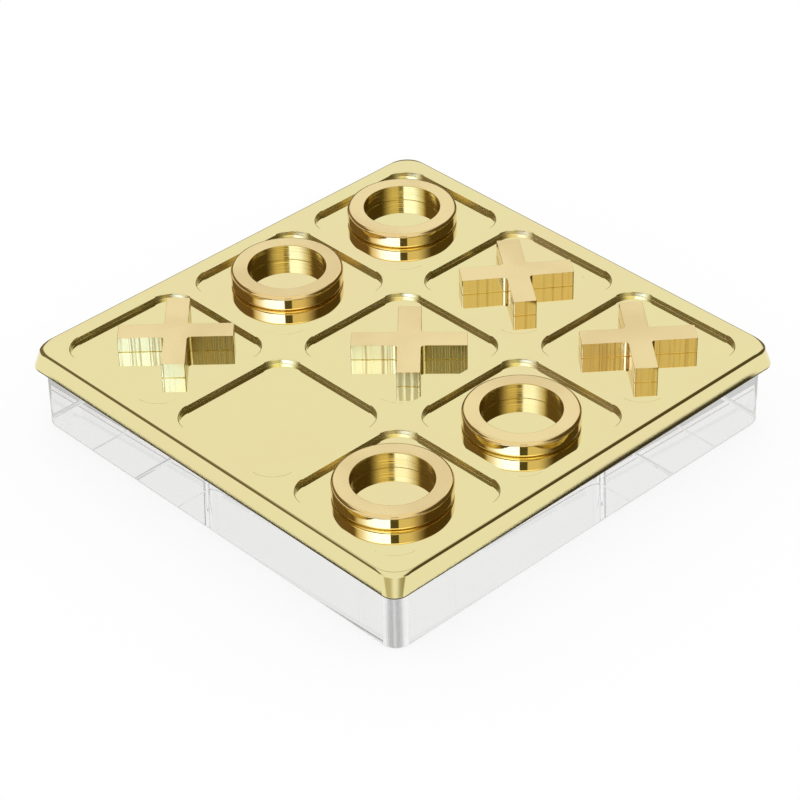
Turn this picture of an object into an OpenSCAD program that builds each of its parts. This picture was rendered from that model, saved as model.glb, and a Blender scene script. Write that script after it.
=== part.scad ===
// Tic-tac-toe board: a brass plate with nine shallow pockets on a clear acrylic block,
// with loose brass rings and crosses lying in the pockets.
// The origin is the middle of the block's underside, +Z is up, and the pockets run in
// three columns along X and three rows along Y.

/* [Pockets] */
// Width of each square pocket, measured at the plate's face
pocket_w = 45.7; // [42:0.1:60]
// Corner radius of each pocket, measured at the plate's face
pocket_corner_r = 8; // [4:0.5:14]
// Depth of each pocket below the plate's face
pocket_depth = 1.5; // [1.2:0.1:3.5]
// Fillet between a pocket's floor and its walls
floor_fillet_r = 0.2; // [0.1:0.05:0.7]
// Broken edge round each pocket's rim
rim_break = 0.3; // [0.1:0.05:0.4]
// Width of the flat bars between neighbouring pockets
bar_w = 4.3; // [3:0.1:15]
// Width of the flat border outside the pockets
border_w = 4.75; // [3:0.25:20]

/* [Plate] */
// Thickness of the brass plate
plate_t = 6.9; // [5.5:0.1:12]
// Corner radius of the plate's flat face
plate_corner_r = 3.5; // [1:0.5:10]
// Rounding of the plate's upper edge
edge_r = 0.95; // [0.3:0.05:1.5]
// Rounding of the plate's lower edge
foot_r = 0.7; // [0.1:0.05:1]
// How far the plate's foot stands out beyond its flat face
foot_reach = 2; // [1.6:0.05:3.5]

/* [Base] */
// How far the plate's foot overhangs the clear block on every side
overhang = 2.4; // [0.5:0.1:6]
// Height of the clear block
base_h = 20; // [10:0.5:40]
// Radius of the block's upright corners
base_corner_r = 5; // [2:0.5:12]
// Rounding of the block's upper and lower edges
base_edge_r = 1; // [0.3:0.1:1.8]

/* [Adhesive pads] */
// Thickness of the clear pads that hold the plate on the block
pad_t = 0.4; // [0.3:0.1:2]
// Diameter of each pad
pad_d = 12; // [8:0.5:16]
// Distance from the block's sides to the middle of a corner pad
pad_inset = 14; // [11:0.5:30]

/* [Playing pieces] */
// Height of every playing piece
piece_h = 5.2; // [3.5:0.1:10]
// Outer diameter of a ring
ring_d = 34.8; // [26:0.1:38]
// Width of a ring's band, from its bore to its outside
ring_band_w = 5.3; // [3.5:0.1:7]
// Rounding of a ring's outer upper edge
ring_edge_r = 1.1; // [0.3:0.05:1.5]
// Rounding of a ring's outer lower edge
ring_foot_r = 1.2; // [0.3:0.05:1.5]
// Rounding of the two edges of a ring's bore
bore_edge_r = 0.2; // [0.1:0.05:0.4]
// Length of a cross's arms, from tip to tip
cross_span = 34.8; // [26:0.1:40]
// Width of a cross's arms
cross_arm_w = 7.1; // [4:0.1:9]
// Fillet in the four inner corners of a cross
cross_fillet_r = 1.2; // [0.4:0.1:2]
// Rounding of the upright edges at a cross's tips
cross_tip_r = 0.3; // [0.1:0.05:1]

/* [Hidden] */
$fn = 96;

// Columns and rows of pockets
COUNT = 3;
pitch = pocket_w + bar_w;
field_w = COUNT * pocket_w + (COUNT - 1) * bar_w;

// Half widths of the plate at its flat face and at its foot
face_half = field_w / 2 + border_w;
foot_half = face_half + foot_reach;
plate_corner = face_half - plate_corner_r;

// The side is the straight line that touches both roundings, whose centres lie this far
// apart, and it leans by this angle from upright
lean_run = foot_reach - foot_r;
lean_rise = plate_t - edge_r - foot_r;
side_lean = acos((edge_r - foot_r) / norm([lean_run, lean_rise])) - atan2(lean_rise, lean_run);

base_half = foot_half - overhang;
base_corner = base_half - base_corner_r;

// Heights above the surface that the board stands on
plate_z = base_h + pad_t;
face_z = plate_z + plate_t;
floor_z = face_z - pocket_depth;

// How far each cutter runs on past what it cuts
cut_run = 1;
pocket_corner = pocket_w / 2 - pocket_corner_r;
wall_r = pocket_corner_r - rim_break;

// How far a centred piece can slide before it meets the fillet at a wall
floor_half = pocket_w / 2 - rim_break - floor_fillet_r;
ring_play = floor_half - ring_d / 2;
cross_play = floor_half - (cross_span + cross_arm_w) / 2 * cos(45);

// Where each ring lies: column, row, then its drift along X and Y as a share of its play
RINGS = [
    [0, 0, -0.08, 0.26],
    [1, 0, -0.21, -0.2],
    [1, 2, 0.26, 0.45],
    [2, 2, 0.14, 0.44]
];
// The same for each cross, then its turn in degrees
CROSSES = [
    [0, 2, 0.595, 0.03, 1.7],
    [1, 1, 0.086, -0.365, 0],
    [2, 1, -0.04, 0.06, 8.2],
    [2, 0, 0.03, 0.04, 5.2]
];

// A square solid with rounded corners: the child is its edge in section, drawn outwards
// from the line through a corner's centre
module rounded_block(corner, height) {
    for (turn = [0 : 90 : 270]) rotate(turn) {
        translate([corner, corner]) rotate_extrude(angle = 90) children();
        translate([corner, corner]) rotate([90, 0, 0])
            linear_extrude(2 * corner) children();
    }
    translate([-corner, -corner]) cube([2 * corner, 2 * corner, height]);
}

// What a rounding of radius r takes off a corner that points to +X and +Y
module corner_notch(r) {
    difference() {
        square(r + cut_run);
        circle(r);
    }
}

// A rectangle with its lower and upper outer corners rounded
module rounded_edge(w, h, low_r, high_r) {
    difference() {
        square([w, h]);
        translate([w - low_r, low_r]) mirror([0, 1]) corner_notch(low_r);
        translate([w - high_r, h - high_r]) corner_notch(high_r);
    }
}

// The plate's edge in section: rounded foot, leaning side and rounded upper edge
module plate_edge() {
    low = [foot_half - foot_r - plate_corner, foot_r];
    top = [face_half - plate_corner, plate_t - edge_r];
    outwards = [cos(side_lean), sin(side_lean)];
    translate(low) circle(foot_r);
    translate(top) circle(edge_r);
    polygon([
        [0, 0], [low[0], 0], low + foot_r * outwards,
        top + edge_r * outwards, [top[0], plate_t], [0, plate_t]
    ]);
}

// A pocket's wall in section: filleted floor, upright wall and broken rim
module pocket_edge() {
    mouth_z = pocket_depth - rim_break;
    mouth_run = rim_break + cut_run;
    difference() {
        square([wall_r, mouth_z]);
        translate([wall_r - floor_fillet_r, floor_fillet_r]) mirror([0, 1])
            corner_notch(floor_fillet_r);
    }
    polygon([
        [0, mouth_z], [wall_r, mouth_z],
        [wall_r + mouth_run, mouth_z + mouth_run], [0, mouth_z + mouth_run]
    ]);
}

// Puts its child on the floor of a pocket, by column and row
module in_pocket(place, play) {
    middle = (COUNT - 1) / 2;
    translate([
        (place[0] - middle) * pitch + place[2] * play,
        (place[1] - middle) * pitch + place[3] * play,
        floor_z
    ]) children();
}

module base_block() {
    color([0.86, 0.9, 0.92, 0.5])
        rounded_block(base_corner, base_h)
            rounded_edge(base_corner_r, base_h, base_edge_r, base_edge_r);
}

module adhesive_pads() {
    reach = base_half - pad_inset;
    spots = concat([[0, 0]], [for (x = [-1, 1], y = [-1, 1]) [x * reach, y * reach]]);
    color([0.93, 0.94, 0.95, 0.6])
        for (spot = spots)
            translate([spot[0], spot[1], base_h]) cylinder(h = pad_t, d = pad_d);
}

module brass_plate() {
    color([0.91, 0.87, 0.65]) difference() {
        translate([0, 0, plate_z]) rounded_block(plate_corner, plate_t) plate_edge();
        for (column = [0 : COUNT - 1], row = [0 : COUNT - 1])
            in_pocket([column, row, 0, 0], 0)
                rounded_block(pocket_corner, pocket_depth + cut_run) pocket_edge();
    }
}

module ring(place) {
    bore = ring_d / 2 - ring_band_w;
    mid = ring_band_w / 2;
    color([0.87, 0.78, 0.55]) in_pocket(place, ring_play) rotate_extrude() {
        translate([bore + mid, 0]) rounded_edge(mid, piece_h, ring_foot_r, ring_edge_r);
        translate([bore + mid, 0]) mirror([1, 0])
            rounded_edge(mid, piece_h, bore_edge_r, bore_edge_r);
    }
}

// One arm of a cross in plan, with its tips' corners rounded
module arm_outline() {
    long = cross_span / 2 - cross_tip_r;
    wide = cross_arm_w / 2 - cross_tip_r;
    square([cross_span, 2 * wide], center = true);
    square([2 * long, cross_arm_w], center = true);
    for (x = [-long, long], y = [-wide, wide]) translate([x, y]) circle(cross_tip_r);
}

module cross(place) {
    inner = cross_arm_w / 2;
    color([0.87, 0.78, 0.55]) in_pocket(place, cross_play)
        rotate(45 + place[4]) linear_extrude(piece_h) {
            arm_outline();
            rotate(90) arm_outline();
            for (turn = [0 : 90 : 270]) rotate(turn) difference() {
                translate([inner, inner]) square(cross_fillet_r);
                translate([inner, inner] + cross_fillet_r * [1, 1]) circle(cross_fillet_r);
            }
        }
}

base_block();
adhesive_pads();
brass_plate();
for (n = [1 : len(RINGS)])
    ring(RINGS[n - 1]);
for (n = [1 : len(CROSSES)])
    cross(CROSSES[n - 1]);
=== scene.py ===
# %% [markdown]
# # A tic-tac-toe board of brass and clear acrylic
#
# The real object is a table game. A thick square plate of polished brass has nine
# shallow pockets milled into it, and stands on a block of clear acrylic. Four turned
# rings and four milled crosses, all of solid brass, lie loose in the pockets.
#
# Almost everything here is a mirror or a lens, so two things decide the look: exact
# shapes with small true roundings, and a believable room for them to reflect.

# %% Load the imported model
import math

import bmesh
import bpy
from mathutils import Matrix, Quaternion, Vector


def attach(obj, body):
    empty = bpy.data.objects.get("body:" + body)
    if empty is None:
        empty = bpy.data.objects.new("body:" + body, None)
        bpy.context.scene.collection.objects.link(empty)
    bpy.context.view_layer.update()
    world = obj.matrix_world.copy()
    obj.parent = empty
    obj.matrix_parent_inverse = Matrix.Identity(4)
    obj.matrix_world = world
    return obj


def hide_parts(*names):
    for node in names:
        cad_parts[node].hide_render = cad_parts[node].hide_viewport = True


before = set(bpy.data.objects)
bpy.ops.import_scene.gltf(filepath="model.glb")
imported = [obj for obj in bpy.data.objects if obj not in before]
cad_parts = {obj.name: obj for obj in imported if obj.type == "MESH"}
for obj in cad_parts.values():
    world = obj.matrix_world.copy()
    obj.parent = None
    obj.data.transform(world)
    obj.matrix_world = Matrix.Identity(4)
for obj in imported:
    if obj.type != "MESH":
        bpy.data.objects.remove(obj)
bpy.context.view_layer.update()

# %% [markdown]
# ## Sizes
#
# The shapes are drawn in millimetres, because the part's drawing is, and each mesh is
# scaled to metres once, when it becomes a piece. The names below are the part's own.
# The plate's foot is drawn a hundredth of a millimetre shorter on each side, which keeps
# this model inside the part's box.

# %% Sizes in millimetres
MM = 0.001
PITCH = 50.0
BASE_HALF, BASE_H = 77.2, 20.0
PLATE_Z, FACE_Z, FLOOR_Z = 20.4, 27.3, 25.8
FOOT_HALF, FACE_HALF = 79.59, 77.6
POCKET_CORE, POCKET_WALL = 14.85, 7.7
PIECE_H = 5.2

# %% [markdown]
# ## The camera
#
# The photograph is a long-lens studio shot from above one corner, so the far edges of
# the board shrink only a little. A camera fitted to the plate's edges and the pockets'
# rims gave the place, the aim and the small roll below.

# %% Camera
CAMERA_PLACE = Vector((-0.4979242, -0.5273952, 0.5316166))
CAMERA_AIM = Vector((-0.0194106, -0.0195214, 0.0273))
CAMERA_ROLL = math.radians(-1.1587)
CAMERA_LENS = 132.88

scene = bpy.context.scene
camera = bpy.data.objects.new("camera", bpy.data.cameras.new("camera"))
scene.collection.objects.link(camera)
camera.data.lens = CAMERA_LENS
camera.location = CAMERA_PLACE
camera.rotation_mode = "QUATERNION"
level = (CAMERA_AIM - CAMERA_PLACE).to_track_quat("-Z", "Y")
camera.rotation_quaternion = level @ Quaternion((0, 0, 1), CAMERA_ROLL)
scene.camera = camera
print("camera distance:", round((CAMERA_AIM - CAMERA_PLACE).length, 4), "m")

# %% [markdown]
# ## Colour and light paths
#
# The Standard view transform shows a colour as it is written. Light that enters the
# acrylic block bounces many times between its faces before it leaves, so the renderer
# is allowed long paths; with short ones the block would turn black inside.

# %% View transform and bounces
PATH_LENGTH = 32
scene.view_settings.view_transform = "Standard"
scene.cycles.max_bounces = PATH_LENGTH
scene.cycles.glossy_bounces = PATH_LENGTH
scene.cycles.transmission_bounces = PATH_LENGTH
print("longest light path:", PATH_LENGTH, "bounces")

# %% [markdown]
# ## Helpers for node trees
#
# A node tree is a drawing of a small sum. These helpers keep each step of such a sum
# on one line: `add` makes a node and fills its inputs, `compute` is one Math node,
# `fade` goes smoothly from 0 to 1 between two values, and `blend` mixes two colours.

# %% Node helpers
def fill(tree, node, inputs):
    """Links a socket, or writes a value, to each named input of the node."""
    for name, value in inputs.items():
        if isinstance(value, bpy.types.NodeSocket):
            tree.links.new(value, node.inputs[name])
        else:
            node.inputs[name].default_value = value
    return node


def add(tree, kind, inputs=None, **settings):
    """A new shader node of this kind, with its settings and inputs filled in."""
    node = tree.nodes.new("ShaderNode" + kind)
    for name, value in settings.items():
        setattr(node, name, value)
    return fill(tree, node, inputs or {})


def compute(tree, operation, *values):
    """The result of one Math node."""
    return add(tree, "Math", dict(enumerate(values)), operation=operation).outputs[0]


def fade(tree, value, start, end):
    """0 at start and 1 at end, with a smooth step between them."""
    node = add(tree, "MapRange", {"Value": value, "From Min": start, "From Max": end},
               interpolation_type="SMOOTHSTEP")
    return node.outputs["Result"]


def blend(tree, share, first, second):
    """The first colour, with this share of the second mixed in."""
    inputs = {0: share, 6: first, 7: second}
    return add(tree, "Mix", inputs, data_type="RGBA").outputs[2]


def new_group(name, inputs, outputs):
    """An empty node group, with the nodes that stand for its inputs and outputs."""
    tree = bpy.data.node_groups.new(name, "ShaderNodeTree")
    for title, kind, value in inputs:
        socket = tree.interface.new_socket(title, in_out="INPUT", socket_type="NodeSocket" + kind)
        socket.default_value = value
    for title, kind in outputs:
        tree.interface.new_socket(title, in_out="OUTPUT", socket_type="NodeSocket" + kind)
    return tree, tree.nodes.new("NodeGroupInput"), tree.nodes.new("NodeGroupOutput")


def use_group(tree, group, inputs):
    """One use of a node group, with its own values."""
    node = tree.nodes.new("ShaderNodeGroup")
    node.node_tree = group
    return fill(tree, node, inputs)

# %% [markdown]
# ## The studio that the brass reflects
#
# Polished brass has hardly a look of its own: it shows the room. The photograph's
# highlights and dark bands tell where things stood round the board. The backdrop and
# the ceiling are white, with a dull gap between them. A soft box stands close to the
# camera's left and a bank of lamps hangs above. The room beside the board is unlit on
# the right and half lit on the left, the floor is dull, and the camera itself makes a
# small dark mark.
#
# Each is a patch of colour with soft or sharp edges, placed by its bearing, in degrees
# to the left of the camera, and its height in degrees. A patch lies over those before
# it. The soft box's colour is a strong blue that turns about white in two reflections
# on the plate, since each of them takes away most of the blue.

# %% Patches of the studio
TOWARD_CAMERA = Vector((-0.6864, -0.7272, 0))
LEFT_OF_CAMERA = Vector((-0.7272, 0.6864, 0))
WHITE = (1.0, 1.0, 1.0, 1)

# Colour, then where the patch fades in and out by bearing, and by height
PATCHES = {
    "ceiling gap": ((0.45, 0.42, 0.34, 1), (-181, -180), (180, 181), (45, 48), (51, 54)),
    "far left floor": ((0.14, 0.12, 0.07, 1), (128, 146), (180, 181), (-91, -90), (16, 27)),
    "far right floor": ((0.14, 0.12, 0.07, 1), (-181, -180), (-146, -128), (-91, -90), (16, 27)),
    "half-lit left": ((0.2, 0.15, 0.09, 1), (66, 80), (146, 158), (2, 9), (46, 58)),
    "unlit right": ((0.1, 0.075, 0.03, 1), (-146, -134), (-66, -26), (-91, -90), (54, 74)),
    "overhead bank": ((2.3, 2.3, 2.2, 1), (-60, -26), (34, 70), (42, 46), (58, 72)),
    "soft box": ((2.1, 2.9, 8.5, 1), (4.5, 6), (30, 74), (6, 12), (44, 48)),
    "low left": ((0.62, 0.56, 0.4, 1), (4, 26), (40, 70), (-91, -90), (3, 9)),
    "low right": ((0.42, 0.37, 0.22, 1), (-70, -44), (-28, -6), (-91, -90), (3, 9)),
    "camera": ((0.12, 0.12, 0.08, 1), (-10.5, -9), (5, 6.5), (28, 30), (41, 43)),
}

studio, given, result = new_group(
    "studio_light", [("Direction", "Vector", (0, 0, 0))], [("Colour", "Color")])
way = add(studio, "VectorMath", {0: given.outputs["Direction"]}, operation="NORMALIZE").outputs[0]
toward, left = (
    add(studio, "VectorMath", {0: way, 1: axis}, operation="DOT_PRODUCT").outputs["Value"]
    for axis in (TOWARD_CAMERA, LEFT_OF_CAMERA))
bearing = compute(studio, "DEGREES", compute(studio, "ARCTAN2", left, toward))
up = add(studio, "SeparateXYZ", {0: way}).outputs["Z"]
height = compute(studio, "DEGREES", compute(studio, "ARCSINE", up))
light = WHITE
for colour, rise, fall, low, high in PATCHES.values():
    across, upward = (
        compute(studio, "SUBTRACT", fade(studio, angle, *starts), fade(studio, angle, *ends))
        for angle, starts, ends in ((bearing, rise, fall), (height, low, high)))
    light = blend(studio, compute(studio, "MULTIPLY", across, upward), light, colour)
studio.links.new(light, result.inputs["Colour"])
print("studio patches:", ", ".join(PATCHES))

# %% [markdown]
# ## The world
#
# Reflections use the studio. A first reflection shows no lamp brighter than white, so
# that the plate keeps its colour from every side, and a second one shows its full
# strength. The acrylic shows the studio too, but softer and as a plain grey, as much
# else lies in its way. Everything else sees plain white: the camera, and the light
# that spreads evenly over dull surfaces.

# %% World
PALE_GREY = (0.86, 0.86, 0.85, 1)
GREY_SHARE = 0.6
# A path's glossy depth is 1 at its first reflection and 2 at its second
PAST_FIRST = 1.5

world = bpy.data.worlds.new("studio")
scene.world = world
world.use_nodes = True
world.cycles.sampling_method = "NONE"
tree = world.node_tree
tree.nodes.clear()
path = add(tree, "LightPath")
direction = add(tree, "TexCoord").outputs["Generated"]
room = use_group(tree, studio, {"Direction": direction}).outputs["Colour"]
dimmed = add(tree, "Mix", {0: 1.0, 6: room, 7: WHITE}, data_type="RGBA", blend_type="DARKEN")
grey = add(tree, "RGBToBW", {0: dimmed.outputs[2]}).outputs[0]
through = blend(tree, GREY_SHARE, grey, PALE_GREY)
again = compute(tree, "GREATER_THAN", path.outputs["Glossy Depth"], PAST_FIRST)
mirrored = blend(tree, again, dimmed.outputs[2], room)
seen = blend(tree, path.outputs["Is Glossy Ray"], WHITE, mirrored)
seen = blend(tree, path.outputs["Is Transmission Ray"], seen, through)
backdrop = add(tree, "Background", {"Color": seen})
add(tree, "OutputWorld", {"Surface": backdrop.outputs[0]})
print("world:", len(tree.nodes), "nodes")

# %% [markdown]
# ## The table
#
# The board stands on a white table. To the camera it's a clean white ground with a
# faint shadow. The brass tells more of the real table: the foot of its sides reflects
# the shadow that the board cast, which ended in a straight edge on both near sides.
# Further out comes the room. The table lies a hair below the block, so that no two
# surfaces share a place.

# %% Table's shape
TABLE_HALF = 4.0
TABLE_GAP = 0.0002

bm = bmesh.new()
bmesh.ops.create_grid(bm, x_segments=1, y_segments=1, size=TABLE_HALF,
                      matrix=Matrix.Translation((0, 0, -TABLE_GAP)))
mesh = bpy.data.meshes.new("table")
bm.to_mesh(mesh)
bm.free()
table = bpy.data.objects.new("table", mesh)
scene.collection.objects.link(table)
print("table:", 2 * TABLE_HALF, "m square")

# %% What the table shows to reflections
CAST_SHADOW = (0.05, 0.042, 0.025, 1)
# Where each thing fades in across the table, in metres
ROOM_STARTS = (0.2, 0.26)
SHADOW_LEFT, SHADOW_RIGHT = (-0.1206, -0.1196), (-0.1243, -0.1232)
SHADOW_INSIDE, SHADOW_ENDS = (-0.074, -0.077), (0.113, 0.107)
# The shadow's right-hand edge slants by this share of X, until X gets this far
SHADOW_SLANT, SLANT_STOPS = 0.033, 0.045

paint = bpy.data.materials.new("white_table")
paint.use_nodes = True
tree = paint.node_tree
tree.nodes.clear()
place = add(tree, "TexCoord").outputs["Object"]
flat = add(tree, "VectorMath", {0: place, 1: (1, 1, 0)}, operation="MULTIPLY").outputs[0]
reach = add(tree, "VectorMath", {0: flat}, operation="LENGTH").outputs["Value"]
room = use_group(tree, studio, {"Direction": flat}).outputs["Colour"]
along = add(tree, "SeparateXYZ", {0: flat})
around = blend(tree, fade(tree, reach, *ROOM_STARTS), WHITE, room)

# The shadow falls on the two near sides only, and ends about 30 mm beyond the board
slope = compute(tree, "MINIMUM", along.outputs["X"], SLANT_STOPS)
slant = compute(tree, "MULTIPLY_ADD", slope, SHADOW_SLANT, along.outputs["Y"])
nearest, furthest = (
    compute(tree, which, along.outputs["X"], along.outputs["Y"])
    for which in ("MINIMUM", "MAXIMUM"))
shadow = fade(tree, along.outputs["X"], *SHADOW_LEFT)
for across, edge in (
        (slant, SHADOW_RIGHT), (nearest, SHADOW_INSIDE), (furthest, SHADOW_ENDS)):
    shadow = compute(tree, "MULTIPLY", shadow, fade(tree, across, *edge))
around = blend(tree, shadow, around, CAST_SHADOW)

# %% What the table shows through the block, and to the camera
TABLE_SHADOW_SHARE = 0.15
# Painted shade under the block, seen only through the acrylic
BLOCK_SHADE = (0.5, 0.5, 0.52, 1)
BLOCK_MARGIN = 1.5

# Through the acrylic the ground shows painted shade: pale grey, and darker where the block stands
# on it
side = compute(tree, "MAXIMUM", *(
    compute(tree, "ABSOLUTE", along.outputs[axis]) for axis in "XY"))
outside = fade(tree, side, BASE_HALF * MM, (BASE_HALF + BLOCK_MARGIN) * MM)
below = blend(tree, outside, BLOCK_SHADE, PALE_GREY)

rays = add(tree, "LightPath")
seen = blend(tree, rays.outputs["Is Transmission Ray"], around, below)
seen = blend(tree, rays.outputs["Is Camera Ray"], seen, WHITE)
glow = add(tree, "Emission", {"Color": seen})
matt = add(tree, "BsdfDiffuse", {"Color": WHITE})
dull = compute(tree, "MULTIPLY", rays.outputs["Is Camera Ray"], TABLE_SHADOW_SHARE)
mixed = add(tree, "MixShader", {0: dull, 1: glow.outputs[0], 2: matt.outputs[0]})
add(tree, "OutputMaterial", {"Surface": mixed.outputs[0]})
mesh.materials.append(paint)
print("table's paint:", len(tree.nodes), "nodes")

# %% [markdown]
# ## From a drawing to a piece
#
# Each shape ends here. Its normals are made to point outwards, edges that turn by more
# than 30 degrees are marked sharp, and the mesh goes from millimetres to metres. The
# Weighted Normal modifier lets the largest face at each corner decide its normal, so a
# flat stays a perfect mirror right up to the rounding beside it.

# %% Finish a shape as a piece
SHARP = math.radians(30)
LARGEST_FACE_ONLY, SAME_AREA = 100, 1e-7
pieces = {}


def make_piece(name, bm, body, node):
    """Turns a bmesh in millimetres into a piece that rides its body."""
    bmesh.ops.recalc_face_normals(bm, faces=bm.faces)
    for edge in bm.edges:
        edge.smooth = edge.calc_face_angle(0) < SHARP
    for face in bm.faces:
        face.smooth = True
    mesh = bpy.data.meshes.new(name)
    bm.to_mesh(mesh)
    open_edges = sum(not edge.is_manifold for edge in bm.edges)
    bm.free()
    mesh.transform(Matrix.Scale(MM, 4))
    piece = bpy.data.objects.new(name, mesh)
    scene.collection.objects.link(piece)
    normals = piece.modifiers.new("flat_normals", "WEIGHTED_NORMAL")
    normals.keep_sharp = True
    normals.weight = LARGEST_FACE_ONLY
    normals.thresh = SAME_AREA
    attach(piece, body)
    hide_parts(node)
    pieces[name] = piece
    print(f"{name}: {len(mesh.polygons)} faces, {open_edges} open edges")
    return piece


def round_edges(bm, edges, radius, segments):
    """Rounds these edges."""
    bmesh.ops.bevel(bm, geom=list(edges), offset=radius, offset_type="OFFSET", affect="EDGES",
                    segments=segments, profile=0.5, material=-1, clamp_overlap=False)


def round_corners(bm, corners, radius, segments):
    """Rounds these corners of a flat face."""
    bmesh.ops.bevel(bm, geom=list(corners), offset=radius, offset_type="OFFSET",
                    affect="VERTICES", segments=segments, profile=0.5, material=-1)


def cap_edges(bm, way):
    """The edges of the flat face that points up, or down where the way is -1."""
    bm.normal_update()
    return next(f for f in bm.faces if way * f.normal.z > 0.5).edges

# %% [markdown]
# ## The acrylic block
#
# The block is sawn from thick sheet, its upright corners are routed round, and the
# edges above and below are flame polished. So a cube has its four upright edges
# bevelled first, then the loops round its top and bottom.

# %% Acrylic block
BASE_CORNER_R, BASE_UPPER_R, BASE_LOWER_R = 5.0, 0.4, 1.0
BASE_CORNER_STEPS, BASE_EDGE_STEPS = 48, 8

bm = bmesh.new()
bmesh.ops.create_cube(bm, size=1, matrix=Matrix.Translation((0, 0, 0.5)))
bmesh.ops.scale(bm, vec=(2 * BASE_HALF, 2 * BASE_HALF, BASE_H), verts=bm.verts)
upright = [e for e in bm.edges if e.verts[0].co.z != e.verts[1].co.z]
round_edges(bm, upright, BASE_CORNER_R, BASE_CORNER_STEPS)
round_edges(bm, cap_edges(bm, 1), BASE_UPPER_R, BASE_EDGE_STEPS)
round_edges(bm, cap_edges(bm, -1), BASE_LOWER_R, BASE_EDGE_STEPS)
make_piece("clear_block", bm, "board", "base_block")

# %% [markdown]
# ## The pads
#
# No brass colour shows through the block, which means that air lies between it and
# the plate. Five clear pads hold them apart. They stop a hair short of both faces, so
# that the glass of one never shares a place with the glass of the other.

# %% Adhesive pads
PAD_R, PAD_GAP, PAD_EDGE_R = 6.0, 0.02, 0.15
PAD_REACH = 63.2
PAD_STEPS, PAD_EDGE_STEPS = 64, 3
PAD_MIDDLES = [(0, 0)] + [(x * PAD_REACH, y * PAD_REACH) for x in (-1, 1) for y in (-1, 1)]

bm = bmesh.new()
for x, y in PAD_MIDDLES:
    bmesh.ops.create_cone(bm, cap_ends=True, segments=PAD_STEPS, radius1=PAD_R, radius2=PAD_R,
                          depth=PLATE_Z - BASE_H - 2 * PAD_GAP,
                          matrix=Matrix.Translation((x, y, (BASE_H + PLATE_Z) / 2)))
bm.normal_update()
caps = [f for f in bm.faces if abs(f.normal.z) > 0.5]
round_edges(bm, {e for f in caps for e in f.edges}, PAD_EDGE_R, PAD_EDGE_STEPS)
make_piece("clear_pads", bm, "board", "adhesive_pads")

# %% [markdown]
# ## The brass plate
#
# Both the plate's rim and its pockets are squares with rounded corners whose section
# changes with height. A flat outline is made once, from a square with its corners
# bevelled, and its edge is extruded level by level. A level is a square core, how far
# the outline reaches beyond that core, and a height, so arcs stay true arcs.
#
# The plate's side leans out between two roundings. Polishing has worn the corners, so
# the face's core is smaller than the foot's and its corners are rounder. The pockets'
# rims and fillets are bevels, and one fill closes the face between all of them.

# %% Helpers for rounded outlines
CORNER_SEGMENTS = 24


def outline(bm, level, middle=(0, 0)):
    """A flat face: a square core with rounded corners. Returns its edges."""
    core, reach, height = level
    made = bmesh.ops.create_grid(bm, x_segments=1, y_segments=1, size=core + reach,
                                 matrix=Matrix.Translation((*middle, height)))
    others = set(bm.faces) - set(made["verts"][0].link_faces)
    round_corners(bm, made["verts"], reach, CORNER_SEGMENTS)
    return list(next(f for f in bm.faces if f not in others).edges)


def raise_edges(bm, edges, below, level, middle=(0, 0)):
    """Extrudes a loop of edges from the level below to the next, and returns the new loop."""
    core, reach, height = level
    made = bmesh.ops.extrude_edge_only(bm, edges=edges)["geom"]
    for vert in (g for g in made if isinstance(g, bmesh.types.BMVert)):
        away = vert.co.xy - Vector(middle)
        corner = Vector([math.copysign(1, value) for value in away])
        outward = (away - corner * below[0]).normalized()
        place = Vector(middle) + corner * core + outward * reach
        vert.co = (place.x, place.y, height)
    return [g for g in made if isinstance(g, bmesh.types.BMEdge)]

# %% Plate's outer edge, from its underside up
FOOT_R, EDGE_R = 0.7, 0.95
FOOT_CORE, SHOULDER_CORE, FACE_CORE = 74.7, 72.6, 69.6
FOOT_STEPS, EDGE_STEPS = 8, 14
FACE_INSET = 1.2

run, rise = FOOT_HALF - FOOT_R - FACE_HALF, FACE_Z - EDGE_R - FOOT_R - PLATE_Z
LEAN = math.acos((EDGE_R - FOOT_R) / math.hypot(run, rise)) - math.atan2(rise, run)
print("the side leans by", round(math.degrees(LEAN), 1), "degrees")


def rounding(half, height, radius, angles, cores):
    """Levels along a rounding, by the angle of its surface's normal above the horizon."""
    for step, angle in enumerate(angles):
        share = step / (len(angles) - 1)
        core = cores[0] + (cores[1] - cores[0]) * share
        yield core, half + radius * math.cos(angle) - core, height + radius * math.sin(angle)


def steps(start, end, count):
    """Evenly spaced angles from start to end."""
    return [start + (end - start) * step / count for step in range(count + 1)]


levels = list(rounding(FOOT_HALF - FOOT_R, PLATE_Z + FOOT_R, FOOT_R,
                       steps(-math.pi / 2, LEAN, FOOT_STEPS), (FOOT_CORE, FOOT_CORE)))
levels += rounding(FACE_HALF, FACE_Z - EDGE_R, EDGE_R,
                   steps(LEAN, math.pi / 2, EDGE_STEPS), (SHOULDER_CORE, FACE_CORE))
levels.append((FACE_CORE, FACE_HALF - FACE_CORE - FACE_INSET, FACE_Z))
bm = bmesh.new()
edges = outline(bm, levels[0])
for below, level in zip(levels, levels[1:]):
    edges = raise_edges(bm, edges, below, level)

# %% Pockets, from their floors up, and the face between them
RIM_R, FLOOR_FILLET_R = 0.4, 0.2
RIM_REACH = 9.0
POCKET_EDGE_STEPS = 6

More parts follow.
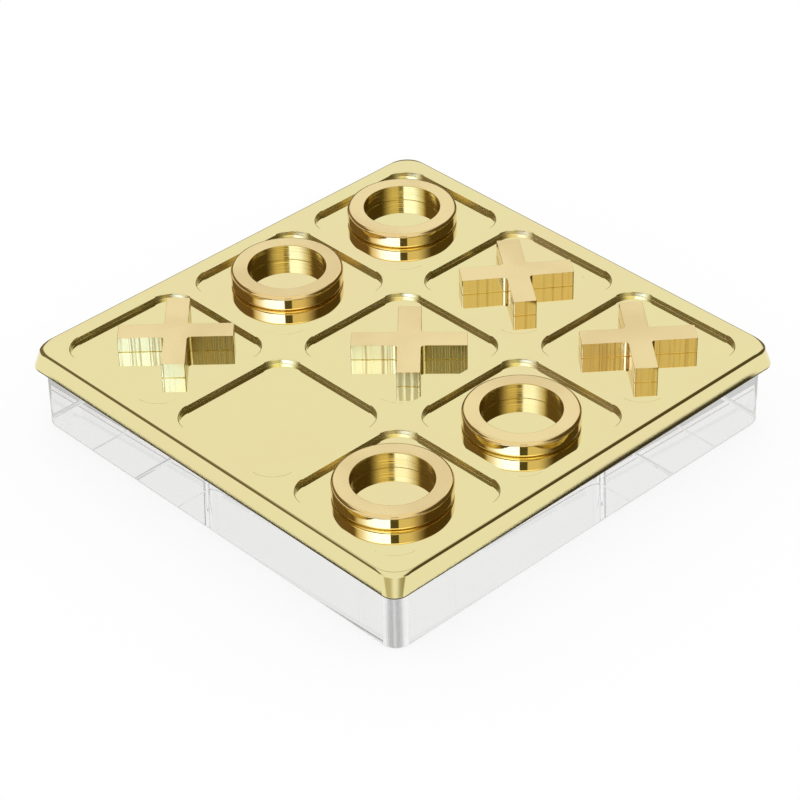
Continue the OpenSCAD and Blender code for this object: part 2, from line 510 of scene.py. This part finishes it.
floor_level, rim_level, outer_level = (
    (POCKET_CORE, POCKET_WALL, FLOOR_Z), (POCKET_CORE, POCKET_WALL, FACE_Z),
    (POCKET_CORE, RIM_REACH, FACE_Z))
for column in (-1, 0, 1):
    for row in (-1, 0, 1):
        middle = (column * PITCH, row * PITCH)
        floor = outline(bm, floor_level, middle)
        rim = raise_edges(bm, floor, floor_level, rim_level, middle)
        raise_edges(bm, rim, rim_level, outer_level, middle)
        round_edges(bm, rim, RIM_R, POCKET_EDGE_STEPS)
        round_edges(bm, floor, FLOOR_FILLET_R, POCKET_EDGE_STEPS)
rest = [e for e in bm.edges if e.is_boundary]
bmesh.ops.triangle_fill(bm, use_beauty=True, edges=rest, normal=(0, 0, 1))
make_piece("plate", bm, "board", "brass_plate")

# %% [markdown]
# ## The rings
#
# A ring is a lathe part. Its section is a rectangle with two large roundings, at the
# outer edges, and two small ones in the bore. Spun round the ring's axis, it gives true
# circles. The section's face is deleted first, or it would stay inside the brass.

# %% Rings
RING_R, BORE_R = 17.4, 12.1
RING_EDGE_R, RING_FOOT_R, BORE_EDGE_R = 1.1, 1.2, 0.2
RING_STEPS, RING_EDGE_STEPS, BORE_EDGE_STEPS = 160, 12, 4
RING_MIDDLES = [(-50.396, -48.713), (-1.04, -50.99), (1.287, 52.228), (50.693, 52.178)]


def ring_shape(middle):
    """A ring with its foot on the pocket's floor."""
    bm = bmesh.new()
    bmesh.ops.create_grid(bm, x_segments=1, y_segments=1, size=0.5)
    bmesh.ops.scale(bm, vec=(RING_R - BORE_R, PIECE_H, 1), verts=bm.verts)
    bmesh.ops.rotate(bm, verts=bm.verts, matrix=Matrix.Rotation(math.pi / 2, 3, "X"))
    bmesh.ops.translate(bm, verts=bm.verts, vec=((RING_R + BORE_R) / 2, 0, PIECE_H / 2))
    corners = list(bm.verts)
    outer = [v for v in corners if v.co.x > (RING_R + BORE_R) / 2]
    outer_top = max(outer, key=lambda v: v.co.z)
    outer_foot = min(outer, key=lambda v: v.co.z)
    bore = [v for v in corners if v not in outer]
    round_corners(bm, [outer_top], RING_EDGE_R, RING_EDGE_STEPS)
    round_corners(bm, [outer_foot], RING_FOOT_R, RING_EDGE_STEPS)
    round_corners(bm, bore, BORE_EDGE_R, BORE_EDGE_STEPS)
    bmesh.ops.delete(bm, geom=bm.faces[:], context="FACES_ONLY")
    bmesh.ops.spin(bm, geom=bm.verts[:] + bm.edges[:], cent=(0, 0, 0), axis=(0, 0, 1),
                   angle=2 * math.pi, steps=RING_STEPS, use_merge=True)
    bmesh.ops.translate(bm, verts=bm.verts, vec=(*middle, FLOOR_Z))
    return bm


for number, middle in enumerate(RING_MIDDLES, 1):
    name = f"ring_{number}"
    make_piece("brass_" + name, ring_shape(middle), name, name)

# %% [markdown]
# ## The crosses
#
# A cross is cut from bar with an end mill, which leaves a fillet in each inner corner.
# A grid of nine squares loses its four corner squares and becomes one flat outline,
# its corners are rounded, and it is extruded to its height. All edges are only broken.
# The breaks stay smaller than the rounding at the tips, or the outline would cross
# itself there.

# %% Crosses
CROSS_HALF, ARM_HALF = 17.4, 3.55
CROSS_FILLET_R, CROSS_TIP_R = 1.2, 0.3
UPPER_EDGE_R, LOWER_EDGE_R = 0.15, 0.28
TIP_STEPS, FILLET_STEPS, UPPER_EDGE_STEPS, LOWER_EDGE_STEPS = 4, 8, 3, 6
# Middle in x and y, then the turn away from the board's diagonal
DIAGONAL = 45
CROSS_PLACES = [
    (-45.516, 50.226, 1.7), (0.648, -2.751, 0.0), (49.699, 0.452, 8.2), (50.226, -49.699, 5.2)
]


def cross_shape(x, y, turn):
    """A cross with its foot on the pocket's floor."""
    bm = bmesh.new()
    bmesh.ops.create_grid(bm, x_segments=3, y_segments=3, size=1)
    for vert in bm.verts:
        for axis in (0, 1):
            half = CROSS_HALF if abs(vert.co[axis]) > 0.5 else ARM_HALF
            vert.co[axis] = math.copysign(half, vert.co[axis])
    square = [f for f in bm.faces if min(map(abs, f.calc_center_median().xy)) > ARM_HALF]
    bmesh.ops.delete(bm, geom=square, context="FACES")
    bmesh.ops.dissolve_faces(bm, faces=bm.faces[:])
    inner = [v for v in bm.verts if max(map(abs, v.co.xy)) < CROSS_HALF / 2]
    tips = [v for v in bm.verts if v not in inner]
    round_corners(bm, tips, CROSS_TIP_R, TIP_STEPS)
    round_corners(bm, inner, CROSS_FILLET_R, FILLET_STEPS)
    raised = bmesh.ops.extrude_face_region(bm, geom=bm.faces[:])["geom"]
    bmesh.ops.translate(bm, vec=(0, 0, PIECE_H),
                        verts=[g for g in raised if isinstance(g, bmesh.types.BMVert)])
    bmesh.ops.recalc_face_normals(bm, faces=bm.faces)
    round_edges(bm, cap_edges(bm, 1), UPPER_EDGE_R, UPPER_EDGE_STEPS)
    round_edges(bm, cap_edges(bm, -1), LOWER_EDGE_R, LOWER_EDGE_STEPS)
    turned_by = Matrix.Rotation(math.radians(DIAGONAL + turn), 3, "Z")
    bmesh.ops.rotate(bm, verts=bm.verts, matrix=turned_by)
    bmesh.ops.translate(bm, verts=bm.verts, vec=(x, y, FLOOR_Z))
    return bm


for number, place in enumerate(CROSS_PLACES, 1):
    name = f"cross_{number}"
    make_piece("brass_" + name, cross_shape(*place), name, name)

# %% [markdown]
# ## Effects that the finishes share
#
# Real brass is never one even colour. `tone` lays faint, wide, warmer clouds over it,
# as handling leaves. `specks` scatters the odd tiny pit. `lines` makes fine parallel
# tool marks: noise that is squeezed across the marks and stretched along them. With a
# narrow span between its start and end, only the odd mark is left on a smooth ground.

# %% Tone
CLOUD_EDGE = (0.4, 0.68)

tone, given, result = new_group("tone", [
    ("Place", "Vector", (0, 0, 0)), ("Colour", "Color", WHITE), ("Cloud", "Color", WHITE),
    ("Scale", "Float", 30.0), ("Share", "Float", 0.5)], [("Colour", "Color"), ("Mask", "Float")])
noise = add(tone, "TexNoise", {
    "Vector": given.outputs["Place"], "Scale": given.outputs["Scale"],
    "Detail": 3.0, "Roughness": 0.5})
cloud = fade(tone, noise.outputs["Fac"], *CLOUD_EDGE)
share = compute(tone, "MULTIPLY", cloud, given.outputs["Share"])
tone.links.new(blend(tone, share, given.outputs["Colour"], given.outputs["Cloud"]),
               result.inputs["Colour"])
tone.links.new(cloud, result.inputs["Mask"])
print("tone:", len(tone.nodes), "nodes")

# %% Specks
specks, given, result = new_group("specks", [
    ("Place", "Vector", (0, 0, 0)), ("Scale", "Float", 120.0), ("Size", "Float", 0.04),
    ("Share", "Float", 0.1)], [("Mask", "Float")])
cells = add(specks, "TexVoronoi", {
    "Vector": given.outputs["Place"], "Scale": given.outputs["Scale"]})
chosen = compute(specks, "LESS_THAN", add(
    specks, "SeparateColor", {0: cells.outputs["Color"]}).outputs[0], given.outputs["Share"])
near = compute(specks, "LESS_THAN", cells.outputs["Distance"], given.outputs["Size"])
specks.links.new(compute(specks, "MULTIPLY", chosen, near), result.inputs["Mask"])
print("specks:", len(specks.nodes), "nodes")

# %% Lines
lines, given, result = new_group("lines", [
    ("Place", "Vector", (0, 0, 0)), ("Stretch", "Vector", (1, 1, 1)), ("Start", "Float", 0.0),
    ("End", "Float", 1.0)], [("Height", "Float")])
stretched = add(lines, "VectorMath", {
    0: given.outputs["Place"], 1: given.outputs["Stretch"]}, operation="MULTIPLY")
noise = add(lines, "TexNoise", {"Vector": stretched.outputs[0], "Scale": 1.0, "Detail": 2.0})
span = fade(lines, noise.outputs["Fac"], given.outputs["Start"], given.outputs["End"])
lines.links.new(span, result.inputs["Height"])
print("lines:", len(lines.nodes), "nodes")

# %% [markdown]
# ## Finishes
#
# All the brass is one alloy, but each surface was finished by another tool, and that
# is what tells them apart. Each finish says how rough it is, how deep its marks are
# and which way they run. The plate's underside is a pale guess, made because the block
# then looks as bright as in the photograph. The pieces' dark undersides are painted
# shade, and a guess too.

# %% Colours of brass, each with its warmer clouds
BRASS = (0.80, 0.725, 0.37, 1)
BRASS_WARM = (0.83, 0.69, 0.37, 1)
GOLD_BRASS = (0.82, 0.63, 0.28, 1)
GOLD_BRASS_WARM = (0.84, 0.58, 0.25, 1)
BORE_BRASS = (0.68, 0.52, 0.18, 1)
BORE_BRASS_WARM = (0.55, 0.4, 0.13, 1)
PALE_BRASS = (0.895, 0.73, 0.38, 1)
PALE_BRASS_WARM = (0.9, 0.7, 0.365, 1)
FLY_CUT_BRASS = (0.92, 0.82, 0.4, 1)
FLY_CUT_BRASS_WARM = (0.9, 0.76, 0.3, 1)
# Painted shade: the dark brown of a cross's side that its near arm keeps from the light
SHADED_ARM_BRASS = (0.26, 0.2, 0.05, 1)
SHADED_ARM_BRASS_WARM = (0.16, 0.11, 0.02, 1)
UNDERSIDE = (0.9, 0.89, 0.87, 1)
UNDERSIDE_WARM = (0.88, 0.86, 0.82, 1)
# Painted shade: the dark undersides of the rings and crosses, where they rest on the floor
PIECE_SHADE = (0.2, 0.14, 0.06, 1)
PIECE_SHADE_WARM = (0.15, 0.09, 0.04, 1)
PIT = (0.36, 0.2, 0.03, 1)
print("brass, as polished:", BRASS[:3])

# %% A brass finish
ROUGH_LOW, ROUGH_HIGH = 0.8, 1.2


def brass(name, colour, cloud, rough, stretch, depth, span=(0.0, 1.0), stain=0.0):
    """A brass finish: colours and roughness, then its marks' stretch, depth, span and stain."""
    made = bpy.data.materials.new(name)
    made.use_nodes = True
    tree = made.node_tree
    tree.nodes.clear()
    place = add(tree, "TexCoord").outputs["Object"]
    toned = use_group(tree, tone, {
        "Place": place, "Colour": colour, "Cloud": cloud})
    pits = use_group(tree, specks, {"Place": place})
    marks = use_group(tree, lines, {
        "Place": place, "Stretch": stretch, "Start": span[0], "End": span[1]})
    stained = compute(tree, "MULTIPLY", marks.outputs["Height"], stain)
    stained = compute(tree, "MAXIMUM", stained, pits.outputs["Mask"])
    bump = add(tree, "Bump", {"Height": marks.outputs["Height"], "Distance": depth})
    uneven = add(tree, "MapRange", {
        "Value": toned.outputs["Mask"], "To Min": ROUGH_LOW * rough, "To Max": ROUGH_HIGH * rough})
    surface = add(tree, "BsdfPrincipled", {
        "Base Color": blend(tree, stained, toned.outputs["Colour"], PIT),
        "Metallic": 1.0, "Roughness": uneven.outputs["Result"], "Normal": bump.outputs[0]})
    add(tree, "OutputMaterial", {"Surface": surface.outputs[0]})
    print(f"{name}: roughness {rough}, marks {depth * 1e6:g} micrometres deep")
    return made

# %% Brass finishes
polished = brass("polished_brass", BRASS, BRASS_WARM, 0.03, (150, 150, 150), 2e-6)
grained = brass("grained_brass", BRASS, BRASS_WARM, 0.03, (3000, 3000, 3000), 1.5e-6)
walled = brass("wall_milled_brass", BRASS, BRASS_WARM, 0.32, (2500, 2500, 2500), 2e-6)
satin = brass("satin_brass", PALE_BRASS, PALE_BRASS_WARM, 0.3, (2500, 2500, 2500), 4e-6)
turned = brass("turned_brass", GOLD_BRASS, GOLD_BRASS_WARM, 0.06, (60, 60, 3000), 3e-6)
bored = brass("bored_brass", BORE_BRASS, BORE_BRASS_WARM, 0.14, (12, 12, 2200), 6e-5)
milled = brass("milled_brass", GOLD_BRASS, GOLD_BRASS_WARM, 0.16, (1000, 1000, 20), 6e-6,
               span=(0.5, 0.7), stain=0.35)
fly_cut = brass("fly_cut_brass", FLY_CUT_BRASS, FLY_CUT_BRASS_WARM, 0.34, (1000, 1000, 20), 6e-6,
                span=(0.46, 0.64), stain=0.6)
# Painted shade for the side of a cross that its near arm keeps from the light
shaded_arm = brass("painted_shade_arm_brass", SHADED_ARM_BRASS, SHADED_ARM_BRASS_WARM, 0.36, (2200, 2200, 40), 2e-5,
             span=(0.35, 0.65), stain=0.6)
backed = brass("pale_underside", UNDERSIDE, UNDERSIDE_WARM, 0.4, (900, 900, 900), 4e-6)
# Painted shade for the undersides of the rings and crosses
underside_shade = brass("painted_shade_underside_brass", PIECE_SHADE, PIECE_SHADE_WARM, 0.5, (900, 900, 900), 1e-5)

# %% [markdown]
# ## Clear acrylic
#
# Acrylic bends light less than window glass does: its index is 1.49. Its tint is
# almost nothing, but light crosses the block the long way, so it adds up. Some light
# that enters at a rounded corner can't leave again, and in the real block a faint haze
# lets it out, so each surface here glows by about one percent as painted light, and the
# near corner, which was routed and not polished after, glows more. The pads are the
# same kind of clear, with a less even surface.

# %% A clear finish
CLEAR_SCALE, CLEAR_SHARE = 40.0, 0.3


def clear(name, colour, index, rough, haze_glow, stretch, depth):
    """A clear plastic with a slightly uneven surface and a faint glow of painted light."""
    made = bpy.data.materials.new(name)
    made.use_nodes = True
    tree = made.node_tree
    tree.nodes.clear()
    place = add(tree, "TexCoord").outputs["Object"]
    toned = use_group(tree, tone, {
        "Place": place, "Colour": colour, "Cloud": WHITE, "Scale": CLEAR_SCALE,
        "Share": CLEAR_SHARE})
    marks = use_group(tree, lines, {"Place": place, "Stretch": stretch})
    bump = add(tree, "Bump", {"Height": marks.outputs["Height"], "Distance": depth})
    surface = add(tree, "BsdfPrincipled", {
        "Base Color": toned.outputs["Colour"], "Roughness": rough, "IOR": index,
        "Transmission Weight": 1.0, "Emission Color": WHITE, "Emission Strength": haze_glow,
        "Normal": bump.outputs[0]})
    add(tree, "OutputMaterial", {"Surface": surface.outputs[0]})
    print(f"{name}: index {index}, haze {haze_glow}")
    return made

# %% Acrylic and pads
# The haze is a glow of painted light, strongest on the routed corner
acrylic = clear("clear_acrylic", (0.97, 0.97, 0.97, 1), 1.49, 0.0, 0.008, (8, 8, 8), 1e-6)
routed_glowing = clear("routed_glowing_acrylic", (0.9, 0.9, 0.905, 1), 1.49, 0.28, 0.12, (900, 900, 40), 1e-6)
adhesive = clear("clear_adhesive", (0.96, 0.96, 0.95, 1), 1.47, 0.0, 0.008, (900, 900, 900), 2e-5)

# %% [markdown]
# ## Each face gets its tool's finish
#
# The faces are told apart by where they point. On a ring, the flat top is satin, the
# bore is bored and the rest is turned. On a cross, the top is satin. The sides are
# milled on two crosses and fly cut on the other two, which also have one side painted
# dark brown on the arm to the camera's right, as painted shade. The undersides of the
# rings and crosses are painted dark, as painted shade.
#
# On the plate, the four sides have a fine grain, the pockets' walls show the end mill,
# the underside is pale and the rest is polished. On the block, the upright corner
# nearest the camera is as the router left it, and the rest is clear.

# %% Helpers that choose a face's finish
# Two crosses have a side with painted shade, dark brown, on the arm to the camera's right
SHADED_ARM_CROSSES = (0, 1)
# How far up or down a face's normal points on a top or an underside
CROSS_TOP, RING_TOP, PLATE_UNDER, PIECE_UNDER = 0.9, 0.99, -0.9, -0.92
# How far past the sides' lean a normal points on the plate's roundings
LEAN_MARGIN = 0.01
# How directly the side with painted shade faces the camera's bearing
TO_CAMERA = 0.7


def dress(piece, finishes, choose=None):
    """Fills the piece's material slots, and picks one for each face."""
    for finish in finishes:
        piece.data.materials.append(finish)
    if choose:
        for face in piece.data.polygons:
            face.material_index = choose(face)
    print(piece.name, "has", ", ".join(finish.name for finish in finishes))


def block_finish(face):
    """On the block: 1 on its upright corner nearest the camera and 0 elsewhere."""
    return int(max(face.center.x, face.center.y) < -(BASE_HALF - BASE_CORNER_R) * MM)


def plate_finish(face):
    """On the plate: 1 on its sides, 2 on the pockets' walls, 3 below and 0 elsewhere."""
    if face.normal.z < PLATE_UNDER:
        return 3
    if abs(face.normal.z) > math.sin(LEAN) + LEAN_MARGIN:
        return 0
    outside = max(abs(face.center.x), abs(face.center.y)) > FACE_HALF * MM
    return 1 if outside else 2


def cross_finish(number):
    """For one cross: 0 on its top, 2 below, 3 on the side with painted shade, and 1 elsewhere."""
    middle = Vector((*CROSS_PLACES[number][:2], 0)) * MM

    def choose(face):
        if face.normal.z > CROSS_TOP:
            return 0
        if face.normal.z < PIECE_UNDER:
            return 2
        to_right = (middle - face.center).dot(LEFT_OF_CAMERA)
        # Painted shade: this side is dark where the near arm keeps the light off
        in_arm_shade = number in SHADED_ARM_CROSSES and to_right > (ARM_HALF + CROSS_FILLET_R) * MM
        return 3 if in_arm_shade and face.normal.dot(TOWARD_CAMERA) > TO_CAMERA else 1
    return choose


def ring_finish(number):
    """For one ring: 0 on its top, 1 on its outside, 2 in its bore and 3 below."""
    middle = Vector(RING_MIDDLES[number]) * MM

    def choose(face):
        outward = (face.center.xy - middle).dot(face.normal.xy)
        if face.normal.z > RING_TOP:
            return 0
        if face.normal.z < PIECE_UNDER:
            return 3
        return 1 if outward > 0 else 2
    return choose

# %% Give out the finishes
dress(pieces["clear_block"], [acrylic, routed_glowing], block_finish)
dress(pieces["clear_pads"], [adhesive])
dress(pieces["plate"], [polished, grained, walled, backed], plate_finish)
for number in range(len(RING_MIDDLES)):
    ring = pieces[f"brass_ring_{number + 1}"]
    dress(ring, [satin, turned, bored, underside_shade], ring_finish(number))
for number in range(len(CROSS_PLACES)):
    cross = pieces[f"brass_cross_{number + 1}"]
    sides = fly_cut if number in SHADED_ARM_CROSSES else milled
    dress(cross, [satin, sides, underside_shade, shaded_arm], cross_finish(number))
